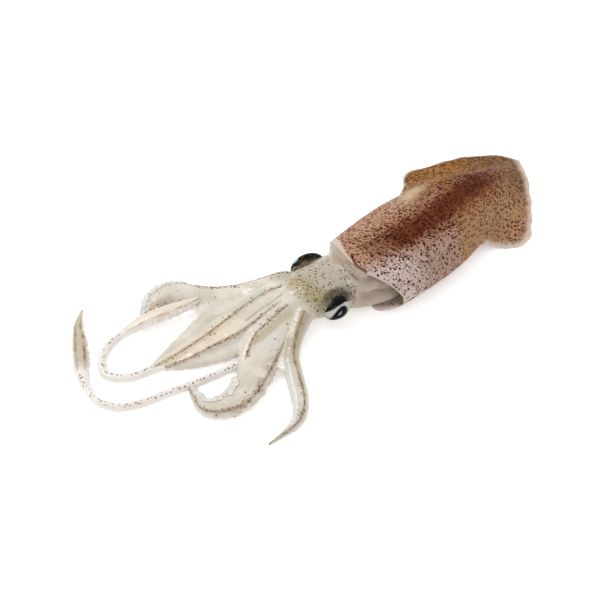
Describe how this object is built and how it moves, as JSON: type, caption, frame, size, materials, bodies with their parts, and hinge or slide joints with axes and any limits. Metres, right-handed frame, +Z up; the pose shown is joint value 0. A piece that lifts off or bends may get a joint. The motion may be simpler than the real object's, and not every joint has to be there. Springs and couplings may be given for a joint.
{
  "type": "whole raw squid",
  "caption": "Whole raw squid lying belly down: a finned tube of a body, a head with an eye on each side, arms spread in front and two long tentacles looped out.",
  "frame": {"origin": "the middle of the bounding box in plan, on the table under the belly", "axes": "+X along the mantle to the tail, +Y to the squid's left side, +Z up"},
  "size_m": [0.3426, 0.1626, 0.0329],
  "materials": {
    "squid_flesh": "wet, soft, slightly see-through raw flesh",
    "mantle_skin": "wet skin, tan to maroon, with small dark spots",
    "eye_wet": "glossy wet eye, dark lens in a pale rim"
  },
  "bodies": {
    "root": {"squid": "squid_flesh"}
  },
  "joints": []
}
